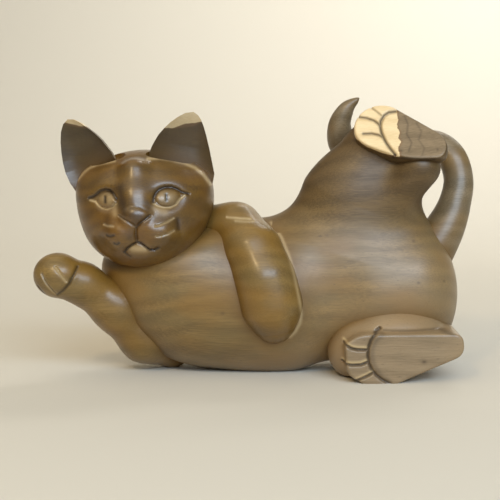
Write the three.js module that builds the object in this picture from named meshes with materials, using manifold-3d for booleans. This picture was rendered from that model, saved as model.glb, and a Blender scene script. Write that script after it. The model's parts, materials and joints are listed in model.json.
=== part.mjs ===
// A carved wooden cat lying on its back: nine carved pieces held together by hidden wooden pegs.
// Millimetres, +Z up, the cat's head towards -X and its face towards -Y.
//
// Every carved piece is the zero level of a carving field: a function that is negative inside the
// wood and positive outside it, put together from ellipsoids and tapered limbs with soft unions.
import * as THREE from "three";
import { mergeVertices } from "three/addons/utils/BufferGeometryUtils.js";
import Module from "manifold-3d";

const wasm = await Module();
wasm.setup();

// ---- Driving dimensions --------------------------------------------------------------------
const LENGTH = 325; // reaching paw to the outside of the tail's bend
const DEPTH = 121; // soles and muzzle at the front to the back of the tail
const HEIGHT = 205; // rest face to the tip of the tail
const HEAD_WIDTH = 102; // across the cheeks
const EAR_HEIGHT = 48; // root to tip
const TAIL_DIAMETER = 22; // where the tail bends
const FORELEG_DIAMETER = 36; // at the thickest
const JOINT_GAP = 0.35; // between two glued pieces
const PEG_DIAMETER = 8; // the pegs of the body
const EAR_PEG_DIAMETER = 4; // the pegs of the ears
const PEG_CLEARANCE = 0.3; // round a peg in its bore
const REST_CUT = 2.5; // taken off the lowest curves so that the cat stands on flats
const CUT_WIDTH = 1.6; // a knife cut between two toes
const CUT_DEPTH = 2.2;

// ---- Places --------------------------------------------------------------------------------
// Places are millimetres in a 325 x 121 x 205 cat, stretched to the three overall sizes.
const STRETCH = [LENGTH / 325, DEPTH / 121, HEIGHT / 205];
const at = (x, y, z) => [x * STRETCH[0], y * STRETCH[1], z * STRETCH[2]];
const GIRTH = Math.cbrt(STRETCH[0] * STRETCH[1] * STRETCH[2]); // scales what is round

// ---- Vectors -------------------------------------------------------------------------------
const add = (a, b) => [a[0] + b[0], a[1] + b[1], a[2] + b[2]];
const sub = (a, b) => [a[0] - b[0], a[1] - b[1], a[2] - b[2]];
const times = (a, s) => [a[0] * s, a[1] * s, a[2] * s];
const dot = (a, b) => a[0] * b[0] + a[1] * b[1] + a[2] * b[2];
const cross = (a, b) => [
  a[1] * b[2] - a[2] * b[1],
  a[2] * b[0] - a[0] * b[2],
  a[0] * b[1] - a[1] * b[0],
];
const size = (a) => Math.hypot(a[0], a[1], a[2]);
const unit = (a) => times(a, 1 / size(a));

// Three square axes: the third along facing, the first as near to along as it can be.
function axes(facing, along) {
  const n = unit(facing);
  const l = unit(sub(along, times(n, dot(along, n))));
  return [l, cross(n, l), n];
}
const LEVEL = axes([0, 0, 1], [1, 0, 0]);

// ---- Carving fields ------------------------------------------------------------------------
// An ellipsoid with its half sizes along three square axes.
function egg(centre, half, frame = LEVEL) {
  return (p) => {
    const q = sub(p, centre);
    const u = frame.map((axis, i) => dot(q, axis) / half[i]);
    const k = size(u);
    return (k * (k - 1)) / Math.max(size(u.map((value, i) => value / half[i])), 1e-6);
  };
}

// A round-ended bar that tapers between two radii and can be flatter along Y.
function bar(a, b, ra, rb, flatness = 1) {
  const ab = sub(b, a);
  const span = dot(ab, ab);
  return (p) => {
    const t = Math.min(1, Math.max(0, dot(sub(p, a), ab) / span));
    const q = sub(p, add(a, times(ab, t)));
    return Math.hypot(q[0], q[1] / flatness, q[2]) - (ra + t * (rb - ra));
  };
}

// The soft union of two or more fields, rounded over a width k.
function join(k, ...fields) {
  return (p) =>
    fields.reduce((d, field) => {
      const e = field(p);
      const h = Math.max(k - Math.abs(d - e), 0) / k;
      return Math.min(d, e) - h * h * k * 0.25;
    }, 1e6);
}

// What two fields share, with the edge rounded over a width k.
const keep = (k, a, b) => {
  const outside = join(k, (p) => -a(p), (p) => -b(p));
  return (p) => -outside(p);
};

// The side of a plane that its normal points away from.
const behind = (centre, normal, offset = 0) => {
  const n = unit(normal);
  return (p) => dot(sub(p, centre), n) - offset;
};
const without = (k, a, b) => keep(k, a, (p) => -b(p));

const widen = (field, level) => (p) => field(p) - level;

// A limb: bars from joint to joint, with a radius at each joint.
function limb(joints, radii, k, flatness = 1) {
  const bars = radii.slice(1).map((radius, i) =>
    bar(joints[i], joints[i + 1], radii[i], radius, flatness));
  return join(k, ...bars);
}

// ---- The cat's shapes ----------------------------------------------------------------------
// The trunk: chest, belly, haunch and rump, planed flat at the top of the chest as the head's seat.
const CHEST_TILT = axes([0.4, 0, 0.92], [0.92, 0, -0.4]);
const NECK_SEAT = at(-70, -8, 103);
const NECK_AXIS = unit([-0.3, -0.3, 0.9]);
const trunk = keep(
  8,
  join(
    18,
    egg(at(-40, 0, 66), at(76, 50, 60), CHEST_TILT),
    egg(at(18, 0, 57), at(62, 46, 57)),
    egg(at(94, 2, 58), at(56, 46, 56)),
    egg(at(121, 4, 62), at(26, 38, 49)),
  ),
  behind(NECK_SEAT, NECK_AXIS),
);

// The raised hind leg grows out of the trunk; the two are parted at the hip plane.
const HIP = at(76, 2, 112);
const HIP_AXIS = unit([-0.09, 0, 1]);
const thigh = limb(
  [at(69, 2, 92), at(79, 0, 126), at(95, -4, 158)],
  [52 * STRETCH[0], 42 * STRETCH[0], 33 * STRETCH[0]],
  12,
  (0.66 * STRETCH[1]) / STRETCH[0],
);
const ankle = bar(at(120, -26, 154), at(90, -6, 116), 15 * GIRTH, 16 * GIRTH);
const tailBridge = bar(at(97, 6, 156), at(102, 23, 163), 11 * GIRTH, 8 * GIRTH);
const bodyAndThigh = join(12, join(24 * STRETCH[0], trunk, thigh), ankle, tailBridge);
const GROIN = at(12, 0, 106); // the valley between the belly and the raised leg
const GROIN_AXIS = unit([-1, 0, 0.25]);
const SPARE = 14; // wood left past the hip plane, to be sawn off

// A foot: an egg along the sole with its front sliced off as the flat sole.
function foot(centre, facing, along, half, sole) {
  const frame = axes(facing, along);
  const heel = add(centre, times(frame[2], -half[2] * 0.3));
  return keep(3, egg(heel, half, frame), behind(centre, facing, sole * GIRTH));
}
const RAISED_SOLE = [-0.12, -0.82, 0.55];
const RAISED_ALONG = [0.88, 0.1, -0.46];
const RAISED_FOOT = at(103, -26, 177);
const RAISED_THICKNESS = 4.5; // from the middle of the raised foot to its sole
const RAISED_AXES = axes(RAISED_SOLE, RAISED_ALONG);
const inRaisedFoot = (place) =>
  place.reduce((p, size, i) => add(p, times(RAISED_AXES[i], size * GIRTH)), RAISED_FOOT);
const raisedSlab = keep(
  3,
  bar(inRaisedFoot([-12, 1.5, -2]), inRaisedFoot([23.5, -5, -2]), 20 * GIRTH, 15.5 * GIRTH),
  keep(3, behind(at(110, -42, 160), [0, -0.25, -0.97]), behind(at(84, -42, 170), [-0.5, -0.2, -0.84])),
);
const raisedFoot = keep(1.5, raisedSlab, behind(RAISED_FOOT, RAISED_SOLE, RAISED_THICKNESS * GIRTH));
const RESTING_SOLE = [0.03, -1, 0];
const RESTING_ALONG = [1, 0.03, 0.1];
const RESTING_FOOT = at(103, -48, 21);
const restingLeg = join(
  6,
  egg(at(100, -22, 34), at(42, 34, 33)),
  egg(at(74, -30, 20), at(22, 22, 19)),
  foot(RESTING_FOOT, RESTING_SOLE, RESTING_ALONG, at(45, 21.5, 28), 11),
);

// The forelegs: one reaches out to the side with a round paw, the other is folded on the belly.
const FORE = (FORELEG_DIAMETER / 36) * GIRTH;
const reachJoints = [
  at(-140, -34, 76), at(-124, -29, 70), at(-101, -19, 51), at(-81, -8, 28), at(-62, 6, 15),
];
const reachingForeleg = join(
  4,
  limb(reachJoints, [16, 14, 17, 18.5, 13.5].map((r) => r * FORE), 8),
  egg(at(-141, -35, 77), [17.5, 16, 16].map((r) => r * FORE)),
);
const foldJoints = [
  at(-33, -3, 110), at(-13, -14, 111), at(-1, -31, 95), at(8, -40, 74), at(13, -41, 55), at(15, -36, 41),
];
const foldedForeleg = limb(foldJoints, [16, 17, 19, 19.5, 19.5, 14].map((r) => r * FORE), 12);

// The head: skull, jaw, two whisker pads, a chin, a nose and two domed eyes.
const CHEEKS = HEAD_WIDTH / 102;
const face = (x, y, z) => add(at(-78, -22, 122), times([x, y, z], CHEEKS));
const round = (...half) => half.map((r) => r * CHEEKS);
const eyes = [face(-25.5, -28, 10), face(17.5, -29, 11.5)];
const skull = join(
  16,
  egg(face(-1, 4, 8), round(50, 42, 37)),
  egg(face(-2, -8, -12), round(39, 34, 28)),
);
const muzzle = join(
  7,
  egg(face(-12, -31, -13), round(15, 12, 11)),
  egg(face(8, -32, -12), round(15, 12, 11)),
  egg(face(-1, -28, -24), round(12, 11, 9)),
);
const bridge = bar(face(-8, -28, 24), face(-3, -36, -1), 9 * CHEEKS, 8 * CHEEKS);
const nose = egg(face(-3, -39, -2), round(12, 8, 7));
const eyeDomes = join(1, ...eyes.map((eye) => egg(eye, round(9, 6, 7))));
const headField = join(4, join(12, join(9, skull, muzzle), bridge), nose, eyeDomes);

// An ear: a flattened cone with a hollowed face.
const EAR_ROOTS = [face(-37, -4, 26), face(25, -4, 30)];
const EAR_LEANS = [[-21, 3, 43], [8, 3, 45]];
const EAR_FACES = [[-0.42, -0.88, 0.2], [0.3, -0.93, 0.2]];
const EAR_HALF_WIDTH = 23 * CHEEKS;
const EAR_THICKNESS = 14 * CHEEKS;
const EAR_RIM = 3.5;
const EAR_BOW = 1.9; // how long the ear keeps its width before it runs to the tip
const EAR_TIP = 2; // half the width of the rounded tip
const EAR_THINNING = 0.7; // how much of the thickness is gone at the tip
const EAR_GRID = { rings: 9, around: 20, ends: 3 };
function earBlade(root, lean, facing, narrower, thinner, low, high) {
  const up = unit(lean);
  const [, side, front] = axes(sub(facing, times(up, dot(facing, up))), up);
  return (p) => {
    const q = sub(p, root);
    const t = dot(q, up);
    const rise = Math.min(1, Math.max(0, t / EAR_HEIGHT));
    const half = Math.max(EAR_HALF_WIDTH * (1 - rise ** EAR_BOW) + EAR_TIP - narrower, 0.5);
    const thick = EAR_THICKNESS * (1 - EAR_THINNING * rise) * thinner;
    const inside = Math.hypot(dot(q, side) / half, dot(q, front) / thick) - 1;
    return Math.max(inside * Math.min(half, thick) * 0.8, t - high, low - t);
  };
}

// The tail leaves the rump, bends up behind the raised heel, passes behind the leg and ends in a
// free tip on the other side.
const TAIL = TAIL_DIAMETER / 22;
const tailJoints = [
  at(131, 4, 90), at(144, 6, 108), at(152, 9, 127), at(155, 12, 145), at(150, 17, 162),
  at(137, 25, 171), at(115, 36, 168), at(88, 40, 163), at(70, 33, 170), at(66, 26, 185),
  at(71, 22, 198), at(80, 19, 206),
];
const tailRadii = [20, 15, 12, 11, 11, 11, 11, 11, 11, 9, 6, 1.4].map((r) => r * TAIL);
const tailCurve = new THREE.CatmullRomCurve3(tailJoints.map((p) => new THREE.Vector3(...p)));
const TAIL_STEPS = 33;
const tailPath = Array.from({ length: TAIL_STEPS + 1 }, (_, i) =>
  tailCurve.getPoint(i / TAIL_STEPS).toArray());
const tailField = limb(
  tailPath,
  tailPath.map((_, i) => {
    const s = (i / TAIL_STEPS) * (tailRadii.length - 1);
    const j = Math.min(Math.floor(s), tailRadii.length - 2);
    return tailRadii[j] + (s - j) * (tailRadii[j + 1] - tailRadii[j]);
  }),
  2,
);

// ---- Surfaces and solids -------------------------------------------------------------------
// How far a ray from inside the wood travels before the field reaches a level.
function castOut(field, from, way, level) {
  const STEP = 3;
  let far = STEP;
  while (field(add(from, times(way, far))) < level && far < 2 * LENGTH) far += STEP;
  let near = far - STEP;
  for (let i = 0; i < 18; i++) {
    const middle = (near + far) / 2;
    if (field(add(from, times(way, middle))) < level) near = middle;
    else far = middle;
  }
  return add(from, times(way, near));
}

// A closed skin round a spine. Rays leave the spine square to it in rings, and fan out over both of
// its ends; each stops where the field reaches the level.
// The columns start in the direction of the seam, and can crowd together there.
function skin(field, spine, { rings, around, ends = 5, level = 0, seam = [0, -1, 0], crowd = 0 }) {
  const curve = new THREE.CatmullRomCurve3(spine.map((p) => new THREE.Vector3(...p)));
  const rows = [];
  for (let i = 1; i < ends; i++) rows.push([0, (i / ends - 1) * (Math.PI / 2)]);
  for (let i = 0; i <= rings; i++) rows.push([i / rings, 0]);
  for (let i = 1; i < ends; i++) rows.push([1, (i / ends) * (Math.PI / 2)]);
  const points = [];
  const cast = (s, tilt, turn) => {
    const from = curve.getPoint(s).toArray();
    const along = curve.getTangent(s).toArray();
    const side = unit(cross(along, seam));
    const front = cross(side, along);
    const flat = add(times(front, Math.cos(turn)), times(side, Math.sin(turn)));
    const way = add(times(flat, Math.cos(tilt)), times(along, Math.sin(tilt)));
    points.push(castOut(field, from, way, level));
  };
  cast(0, -Math.PI / 2, 0);
  rows.forEach(([s, tilt]) => {
    for (let j = 0; j < around; j++) {
      const turn = (j / around) * Math.PI * 2;
      cast(s, tilt, turn - crowd * Math.sin(turn));
    }
  });
  cast(1, Math.PI / 2, 0);
  const faces = [];
  const id = (row, j) => 1 + row * around + (j % around);
  const last = points.length - 1;
  for (let j = 0; j < around; j++) {
    faces.push(0, id(0, j + 1), id(0, j));
    for (let row = 0; row < rows.length - 1; row++) {
      const [a, b, c, d] = [id(row, j), id(row, j + 1), id(row + 1, j + 1), id(row + 1, j)];
      faces.push(a, b, c, a, c, d);
    }
    faces.push(last, id(rows.length - 1, j), id(rows.length - 1, j + 1));
  }
  const geometry = new THREE.BufferGeometry();
  geometry.setAttribute("position", new THREE.Float32BufferAttribute(points.flat(), 3));
  geometry.setIndex(faces);
  return solid(geometry);
}

// A closed three.js geometry as a manifold-3d solid.
function solid(geometry) {
  const bare = geometry.clone();
  bare.deleteAttribute("normal");
  bare.deleteAttribute("uv");
  const merged = mergeVertices(bare, 1e-4);
  return new wasm.Manifold(new wasm.Mesh({
    numProp: 3,
    vertProperties: merged.getAttribute("position").array,
    triVerts: new Uint32Array(merged.getIndex().array),
  }));
}

// The largest body of a solid, without the chips that a cut leaves.
const main = (shape) =>
  shape.decompose().reduce((a, b) => (b.volume() > a.volume() ? b : a));

// A block with one face through a point and the rest of it on the side the normal points to.
function block(point, normal, wide = 3 * LENGTH) {
  const geometry = new THREE.BoxGeometry(wide, wide, wide);
  geometry.translate(0, 0, wide / 2);
  const turn = new THREE.Quaternion()
    .setFromUnitVectors(new THREE.Vector3(0, 0, 1), new THREE.Vector3(...unit(normal)));
  geometry.applyQuaternion(turn);
  geometry.translate(...point);
  return solid(geometry);
}
const floor = block(at(0, 0, REST_CUT), [0, 0, -1]);

// A round bar between two points.
function rod(from, to, radius, sides = 16) {
  const geometry = new THREE.CylinderGeometry(radius, radius, size(sub(to, from)), sides);
  const turn = new THREE.Quaternion()
    .setFromUnitVectors(new THREE.Vector3(0, 1, 0), new THREE.Vector3(...unit(sub(to, from))));
  geometry.applyQuaternion(turn);
  geometry.translate(...times(add(from, to), 0.5));
  return geometry;
}

// A knife cut: a thin slot sunk into a surface between two points.
function knifeCut(from, to, inwards) {
  const mid = times(add(from, to), 0.5);
  const [along, side, depth] = axes(inwards, sub(to, from));
  const geometry = new THREE.BoxGeometry(size(sub(to, from)), CUT_WIDTH, 2 * CUT_DEPTH);
  const turn = new THREE.Matrix4().makeBasis(
    new THREE.Vector3(...along), new THREE.Vector3(...side), new THREE.Vector3(...depth));
  geometry.applyMatrix4(turn);
  geometry.translate(...mid);
  return solid(geometry);
}

// ---- Carving the pieces --------------------------------------------------------------------
// The thigh starts above the hip plane and to the right of the groin plane.
const thighSide = (offset) =>
  keep(0.1, behind(HIP, times(HIP_AXIS, -1), offset), behind(GROIN, GROIN_AXIS, offset));
const thighBlock = (gap) =>
  block(add(HIP, times(HIP_AXIS, gap)), HIP_AXIS)
    .intersect(block(add(GROIN, times(GROIN_AXIS, -gap)), times(GROIN_AXIS, -1)));

const torsoField = without(0.1, bodyAndThigh, thighSide(-SPARE));
const torsoSpine = [at(-66, 0, 66), at(0, 0, 58), at(70, 0, 58), at(112, 2, 60)];
const carveTorso = (level) =>
  skin(torsoField, torsoSpine, { rings: 16, around: 32, ends: 5, seam: [0, 0, -1], level });

const underSole = behind(RAISED_FOOT, RAISED_SOLE, (RAISED_THICKNESS - 1) * GIRTH);
const thighField = keep(0.1, keep(2, bodyAndThigh, underSole), thighSide(SPARE));
const thighSpine = [at(60, 2, 112), at(76, 0, 128), at(90, -2, 146)];
const carveThigh = (level) =>
  skin(thighField, thighSpine, { rings: 7, around: 26, ends: 6, level });

const headSpine = [face(-30, -2, 6), face(0, -2, 4), face(30, -2, 6)];
const carveHead = (level) =>
  skin(headField, headSpine, { rings: 14, around: 32, ends: 5, level, crowd: 0.5 });

// A foot's spine runs from its back towards the middle of the sole.
const carveFoot = (field, centre, facing, around) => {
  const n = unit(facing);
  const spine = [add(centre, times(n, -12 * GIRTH)), add(centre, times(n, -4 * GIRTH))];
  return skin(field, spine, { rings: 2, around, ends: 5, seam: [0, 0, 1] });
};

const torsoWide = carveTorso(JOINT_GAP);
const thighWide = carveThigh(JOINT_GAP);
const headWide = carveHead(JOINT_GAP);
const raisedFootSolid = carveFoot(raisedFoot, RAISED_FOOT, RAISED_SOLE, 24);

const pieces = new Map();
pieces.set("torso", carveTorso(0).subtract(thighBlock(0)));
pieces.set("head", carveHead(0).subtract(torsoWide));
["ear_right", "ear_left"].forEach((name, i) => {
  const [root, lean, facing] = [EAR_ROOTS[i], EAR_LEANS[i], EAR_FACES[i]];
  const up = unit(lean);
  const front = sub(facing, times(up, dot(facing, up)));
  const spine = (low, high) => [low, (low + high) / 2, high].map((t) => add(root, times(up, t)));
  const blade = earBlade(root, lean, facing, 0, 1, -10, EAR_HEIGHT);
  const hollow = earBlade(root, lean, facing, EAR_RIM, 0.42, -14, EAR_HEIGHT * 0.86);
  const ear = skin(blade, spine(-6, EAR_HEIGHT - 3), EAR_GRID)
    .subtract(block(root, front))
    .subtract(skin(hollow, spine(-10, EAR_HEIGHT * 0.8), EAR_GRID));
  pieces.set(name, ear.subtract(headWide));
});
pieces.set(
  "foreleg_reaching",
  skin(reachingForeleg, reachJoints, { rings: 14, around: 16, ends: 4 }).subtract(torsoWide),
);
pieces.set(
  "foreleg_folded",
  skin(foldedForeleg, foldJoints, { rings: 12, around: 18, ends: 4, seam: [0, 0, 1] })
    .subtract(torsoWide)
    .subtract(thighWide)
    .subtract(headWide),
);
pieces.set(
  "hind_leg_raised",
  carveThigh(0).intersect(thighBlock(JOINT_GAP)).add(raisedFootSolid),
);
pieces.set(
  "hind_leg_resting",
  carveFoot(restingLeg, RESTING_FOOT, RESTING_SOLE, 32).subtract(torsoWide),
);
pieces.set(
  "tail",
  skin(tailField, tailPath, { rings: 30, around: 12, ends: 3, seam: [0, 1, 0.2] })
    .subtract(torsoWide)
    .subtract(thighWide)
    .subtract(carveFoot(widen(raisedFoot, JOINT_GAP), RAISED_FOOT, RAISED_SOLE, 24)),
);

// Three knife cuts part the toes, and a bow of shorter ones parts them from the sole's pad.
const TOE_ROOT = 0.52; // where the toe cuts start, as a part of the sole's half length
const TOE_TIP = 0.9; // where they end
const TOE_SPREAD = 18; // half the width of the bow, and of the fan of cuts at their roots
const TOE_FAN = 24; // half the width of the fan at the tips
const TOE_DROP = 0.35; // how much of the sole's height is left where the cuts end
const BOW_ROUNDNESS = 0.7;
function cutToes(name, centre, facing, along, sole, reach) {
  const [l, w, n] = axes(facing, along);
  const spot = (u, v, depth) =>
    add(add(centre, times(l, u * GIRTH)), add(times(w, v * GIRTH), times(n, depth * GIRTH)));
  const cuts = [-0.42, 0, 0.42].map((v) => [
    spot(-TOE_ROOT * reach, TOE_SPREAD * v, sole),
    spot(-TOE_TIP * reach, TOE_FAN * v, sole * TOE_DROP),
  ]);
  const bow = [-1, -0.5, 0, 0.5, 1].map((v) =>
    spot(-TOE_ROOT * reach * Math.sqrt(1 - BOW_ROUNDNESS * v * v), TOE_SPREAD * v, sole));
  for (let i = 1; i < bow.length; i++) cuts.push([bow[i - 1], bow[i]]);
  const cut = (shape, [from, to]) => shape.subtract(knifeCut(from, to, facing));
  pieces.set(name, cuts.reduce(cut, pieces.get(name)));
}
cutToes("hind_leg_raised", RAISED_FOOT, RAISED_SOLE, RAISED_ALONG, RAISED_THICKNESS, 37);
cutToes("hind_leg_resting", RESTING_FOOT, RESTING_SOLE, RESTING_ALONG, 11, 45);

for (const [name, shape] of pieces) pieces.set(name, main(shape.subtract(floor)));

// ---- Pegs and their bores ------------------------------------------------------------------
const pegs = [];
function peg(name, middle, axis, length, diameter, held) {
  const reach = times(unit(axis), length / 2);
  const slack = times(unit(axis), PEG_CLEARANCE);
  const radius = diameter / 2;
  const bore = solid(
    rod(sub(sub(middle, reach), slack), add(add(middle, reach), slack), radius + PEG_CLEARANCE));
  held.forEach((piece) => pieces.set(piece, main(pieces.get(piece).subtract(bore))));
  pegs.push([name, rod(sub(middle, reach), add(middle, reach), radius)]);
}

// A peg across the seat between a host and its guest, on the line from a point inside the host to
// a point inside the guest.
function seatPeg(name, field, inside, outside, length, diameter, held) {
  const axis = unit(sub(outside, inside));
  peg(name, castOut(field, inside, axis, 0), axis, length, diameter, held);
}

[-14, 14].forEach((x, i) => {
  const seat = add(NECK_SEAT, at(x, 0, x / 3));
  peg("neck_peg_" + (i + 1), seat, NECK_AXIS, 26, PEG_DIAMETER, ["torso", "head"]);
});
[-26, 26].forEach((x, i) => {
  const seat = add(HIP, at(x, 0, 0.09 * x));
  peg("raised_hip_peg_" + (i + 1), seat, HIP_AXIS, 34, PEG_DIAMETER, ["torso", "hind_leg_raised"]);
});
const EAR_PEG_DEPTH = [9.2, 8.4]; // behind the face of the right and the left ear
["right", "left"].forEach((side, i) => {
  const back = times(unit(EAR_FACES[i]), -EAR_PEG_DEPTH[i] * CHEEKS);
  const inside = add(add(EAR_ROOTS[i], back), times(unit(EAR_LEANS[i]), -15));
  const outside = add(inside, times(unit(EAR_LEANS[i]), 30));
  seatPeg("ear_peg_" + side, headField, inside, outside, 12, EAR_PEG_DIAMETER, ["head", "ear_" + side]);
});
const SEATS = [
  ["reaching_shoulder_peg_1", "foreleg_reaching", at(-60, 0, 60), at(-97, -18, 51), 20],
  ["reaching_shoulder_peg_2", "foreleg_reaching", at(-50, 0, 50), at(-78, -6, 29), 18],
  ["folded_shoulder_peg_1", "foreleg_folded", at(-5, 0, 84), at(-1, -31, 92), 18],
  ["folded_shoulder_peg_2", "foreleg_folded", at(10, 0, 56), at(13, -41, 54), 18],
  ["resting_hip_peg_1", "hind_leg_resting", at(86, 0, 40), at(86, -46, 26), 20],
  ["resting_hip_peg_2", "hind_leg_resting", at(114, 0, 40), at(114, -46, 28), 20],
  ["tail_root_peg", "tail", at(120, 3, 66), at(146, 6, 104), 24],
];
for (const [name, guest, inside, outside, length] of SEATS)
  seatPeg(name, torsoField, inside, outside, length, PEG_DIAMETER, ["torso", guest]);
seatPeg(
  "tail_leg_peg", thighField, at(98, 0, 156), at(106, 38, 166), 16, PEG_DIAMETER,
  ["hind_leg_raised", "tail"],
);

// ---- The figure ----------------------------------------------------------------------------
const COLOURS = {
  head: 0x8a6638,
  ear_right: 0x6e5a42,
  ear_left: 0x6e5a42,
  peg: 0xb89a6a,
};
const figure = new THREE.Group();
function place(name, geometry, colour) {
  const material = new THREE.MeshStandardMaterial({ color: colour, roughness: 0.35, metalness: 0 });
  const mesh = new THREE.Mesh(geometry, material);
  mesh.name = name;
  figure.add(mesh);
}
for (const [name, shape] of pieces) {
  const { vertProperties, triVerts } = shape.getMesh();
  const geometry = new THREE.BufferGeometry();
  geometry.setAttribute("position", new THREE.BufferAttribute(vertProperties, 3));
  geometry.setIndex(new THREE.BufferAttribute(triVerts, 1));
  geometry.computeVertexNormals();
  place(name, geometry, COLOURS[name] ?? 0x94805e);
}
pegs.forEach(([name, geometry]) => place(name, geometry, COLOURS.peg));

// The origin is the middle of the footprint, on the rest face.
const box = new THREE.Box3().setFromObject(figure, true);
const middle = box.getCenter(new THREE.Vector3());
figure.position.set(-middle.x, -middle.y, -box.min.z);

export default figure;
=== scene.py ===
# %% [markdown]
# # A carved wooden cat
# This lesson carves a cat that lies on its back. A measured model of it, made for building and for
# physics, is loaded first and stays fixed. Everything below dresses that model: finer carving, the
# knife lines, and the look of rubbed and waxed wood. All lengths that describe the cat are
# millimetres, in the block that it was designed in, and they become metres when a mesh is made.

# %% Load the measured model
import json
import bpy
import numpy as np
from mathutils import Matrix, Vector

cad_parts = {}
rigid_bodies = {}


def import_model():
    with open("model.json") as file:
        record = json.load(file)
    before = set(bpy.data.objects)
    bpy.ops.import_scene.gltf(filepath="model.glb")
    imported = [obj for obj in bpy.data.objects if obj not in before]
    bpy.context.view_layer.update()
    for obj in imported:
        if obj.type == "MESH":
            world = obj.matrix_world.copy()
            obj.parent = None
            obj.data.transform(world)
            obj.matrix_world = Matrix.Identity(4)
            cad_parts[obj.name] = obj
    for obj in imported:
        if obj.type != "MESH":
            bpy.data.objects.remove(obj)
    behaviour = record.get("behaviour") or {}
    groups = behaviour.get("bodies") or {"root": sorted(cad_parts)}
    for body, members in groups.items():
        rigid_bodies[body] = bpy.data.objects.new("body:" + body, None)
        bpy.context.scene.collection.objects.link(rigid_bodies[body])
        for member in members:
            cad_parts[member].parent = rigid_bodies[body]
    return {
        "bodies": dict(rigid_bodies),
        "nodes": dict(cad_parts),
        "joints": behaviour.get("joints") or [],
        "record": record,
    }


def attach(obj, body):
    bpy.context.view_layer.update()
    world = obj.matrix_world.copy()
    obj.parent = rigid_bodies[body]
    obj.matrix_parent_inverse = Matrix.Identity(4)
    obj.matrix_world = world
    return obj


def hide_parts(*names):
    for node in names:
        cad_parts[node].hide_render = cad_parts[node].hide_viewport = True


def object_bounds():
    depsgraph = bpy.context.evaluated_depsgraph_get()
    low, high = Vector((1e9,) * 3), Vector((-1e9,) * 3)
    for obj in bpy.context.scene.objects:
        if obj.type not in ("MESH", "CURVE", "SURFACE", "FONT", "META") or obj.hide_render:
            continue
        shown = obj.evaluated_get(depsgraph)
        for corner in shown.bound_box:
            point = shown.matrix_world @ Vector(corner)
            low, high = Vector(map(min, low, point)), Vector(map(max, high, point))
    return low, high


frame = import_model()
CAD_BOX = [[float(v) for v in corner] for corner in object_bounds()]
print("measured model, metres:", CAD_BOX)

# %% [markdown]
# The designer's block and the measured model are the same box, once in millimetres and once in
# metres. Reading the box from the model, instead of writing it down again, keeps every new piece
# where the measured one is.

# %% From the designer's block to the model's metres
BLOCK_LOW = np.array([-158.59, -69.71, 2.5])
BLOCK_SIZE = np.array([325.15, 120.99, 204.87])
LOW, HIGH = (np.array(corner) for corner in CAD_BOX)


def to_metres(p):
    """The same place in the model's box: its share of the block's size, times the box's size."""
    return LOW + (np.asarray(p, float) - BLOCK_LOW) / BLOCK_SIZE * (HIGH - LOW)


def to_block(p):
    """The reverse of to_metres."""
    return BLOCK_LOW + (np.asarray(p, float) - LOW) / (HIGH - LOW) * BLOCK_SIZE


print("one metre of the model is", np.round(BLOCK_SIZE / (HIGH - LOW), 1), "millimetres of the block")

# %% [markdown]
# The whole cat is described by *carving fields*: functions that are negative inside the wood, zero on
# its surface and positive outside. A carver thinks the same way, in round masses that melt into each
# other. Blender's metaballs could do this too, but they give no grip on where the surface lies, so
# the fields are plain numpy formulas that take any number of points at once.

# %% Round masses
def unit(v):
    """A vector, or a table of vectors, scaled to length one."""
    v = np.asarray(v, float)
    return v / np.linalg.norm(v, axis=-1, keepdims=True)


def axes(facing, along):
    """Three square axes as rows: along (made square to facing), their cross product, and facing."""
    n = unit(facing)
    first = unit(np.asarray(along, float) - n * (n @ np.asarray(along, float)))
    return np.stack([first, np.cross(n, first), n])


LEVEL = np.eye(3)


def egg(centre, half, frame=LEVEL):
    """An ellipsoid: with u the point over the half sizes, the field is |u|(|u| - 1) / |u over half|."""
    centre, half = np.asarray(centre, float), np.asarray(half, float)

    def field(p):
        u = ((p - centre) @ frame.T) / half
        k = np.linalg.norm(u, axis=-1)
        return k * (k - 1) / np.maximum(np.linalg.norm(u / half, axis=-1), 1e-6)

    return field


def bar(a, b, ra, rb, flatness=1.0):
    """A tapered round bar: distance to the nearest point of the line a to b, less the radius there."""
    a, b = np.asarray(a, float), np.asarray(b, float)
    span = (b - a) @ (b - a)

    def field(p):
        t = np.clip((p - a) @ (b - a) / span, 0, 1)
        q = (p - a - t[:, None] * (b - a)) / np.array([1, flatness, 1])
        return np.linalg.norm(q, axis=-1) - (ra + t * (rb - ra))

    return field


probe = np.array([[5.0, 0, 0], [10, 0, 0], [20, 0, 0]])
print("an egg's field inside, on and outside its skin:", egg((0, 0, 0), (10, 10, 10))(probe))

# %% [markdown]
# Two masses melt into each other in a soft union. The same formula, turned inside out, keeps what
# two fields share or cuts one out of the other, with an edge as round as a rasp leaves it.

# %% Joining and cutting masses
def join(k, *fields):
    """The soft union: the smaller of two fields, less h * h * k / 4 where they are closer than k."""

    def field(p):
        d = fields[0](p)
        for other in fields[1:]:
            e = other(p)
            h = np.maximum(k - np.abs(d - e), 0) / k
            d = np.minimum(d, e) - h * h * k / 4
        return d

    return field


def keep(k, a, b):
    """What two fields share, with the edge between them rounded over a width k."""
    outside = join(k, lambda p: -a(p), lambda p: -b(p))
    return lambda p: -outside(p)


def without(k, a, b):
    """The first field with the second cut out of it."""
    return keep(k, a, lambda p: -b(p))


def behind(centre, normal, offset=0.0):
    """The side of a plane that its normal points away from, moved along the normal by the offset."""
    n = unit(normal)
    return lambda p: (p - np.asarray(centre, float)) @ n - offset


def limb(joints, radii, k, flatness=1.0):
    """Bars from joint to joint, softly joined, with a radius at each joint."""
    ends = range(len(radii) - 1)
    return join(k, *(bar(joints[i], joints[i + 1], radii[i], radii[i + 1], flatness) for i in ends))


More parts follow.
